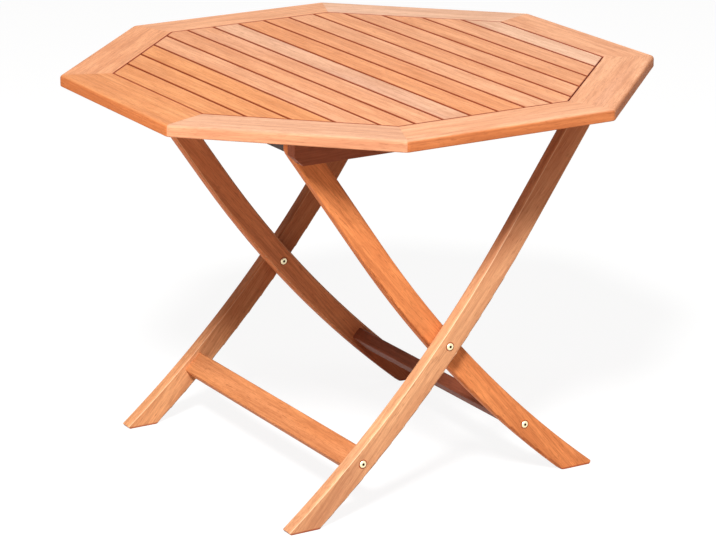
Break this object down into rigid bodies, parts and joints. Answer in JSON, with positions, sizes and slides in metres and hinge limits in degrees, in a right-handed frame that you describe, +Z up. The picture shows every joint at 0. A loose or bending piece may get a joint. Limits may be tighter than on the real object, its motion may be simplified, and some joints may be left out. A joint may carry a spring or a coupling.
{
  "type": "folding garden table",
  "caption": "Octagonal folding garden table with a mitred, slatted hardwood top on two crossing pairs of curved legs that hinge under the top and close like scissors.",
  "frame": {"origin": "on the floor under the middle of the top, the centre of the bounding box's underside", "axes": "+Z is up; +X runs along the battens from the hinge end to the end where the outer legs' heads seat; +Y runs along the slats from the pictured front to the rear"},
  "size_m": [1, 1, 0.73],
  "materials": {
    "rail_wood": "oiled hardwood, warm orange brown",
    "slat_wood": "oiled hardwood, warm orange brown, board to board variation",
    "batten_wood": "oiled hardwood, darker",
    "dowel_wood": "plain hardwood",
    "inner_leg_wood": "oiled hardwood, rounded arrises",
    "outer_leg_wood": "oiled hardwood, rounded arrises",
    "crossbar_wood": "oiled hardwood",
    "brassed_steel": "yellow passivated steel",
    "zinc_steel": "zinc plated"
  },
  "bodies": {
    "top": {"rail_right": "rail_wood", "rail_rear_right": "rail_wood", "rail_rear": "rail_wood", "rail_rear_left": "rail_wood", "rail_left": "rail_wood", "rail_front_left": "rail_wood", "rail_front": "rail_wood", "rail_front_right": "rail_wood", "slat_1": "slat_wood", "slat_2": "slat_wood", "slat_3": "slat_wood", "slat_4": "slat_wood", "slat_5": "slat_wood", "slat_6": "slat_wood", "slat_7": "slat_wood", "slat_8": "slat_wood", "slat_9": "slat_wood", "slat_10": "slat_wood", "slat_11": "slat_wood", "slat_12": "slat_wood", "slat_13": "slat_wood", "slat_14": "slat_wood", "slat_15": "slat_wood", "batten_front": "batten_wood", "batten_rear": "batten_wood", "mitre_dowels": "dowel_wood", "batten_screws": "zinc_steel"},
    "inner_frame": {"inner_leg_front": "inner_leg_wood", "inner_leg_rear": "inner_leg_wood", "inner_top_crossbar": "crossbar_wood", "inner_low_crossbar": "crossbar_wood", "hinge_pins": "zinc_steel", "hinge_washers": "zinc_steel", "pivot_sleeves": "brassed_steel", "pivot_bolts": "brassed_steel", "pivot_washers": "zinc_steel", "inner_crossbar_screws": "brassed_steel"},
    "outer_frame": {"outer_leg_front": "outer_leg_wood", "outer_leg_rear": "outer_leg_wood", "outer_top_crossbar": "crossbar_wood", "outer_low_crossbar": "crossbar_wood", "outer_crossbar_screws": "brassed_steel"}
  },
  "joints": [
    {"name": "inner_frame_hinge", "type": "hinge", "parent": "top", "child": "inner_frame", "pos_m": [-0.29262, 0, 0.682], "axis": [0, 1, 0], "range_deg": [0, 51.6]},
    {"name": "leg_crossing", "type": "hinge", "parent": "inner_frame", "child": "outer_frame", "pos_m": [-0.0095, 0, 0.29], "axis": [0, -1, 0], "range_deg": [0, 62]}
  ],
  "couplings": [
    {"joint": "leg_crossing", "follows": "inner_frame_hinge", "ratio": 1.2}
  ]
}
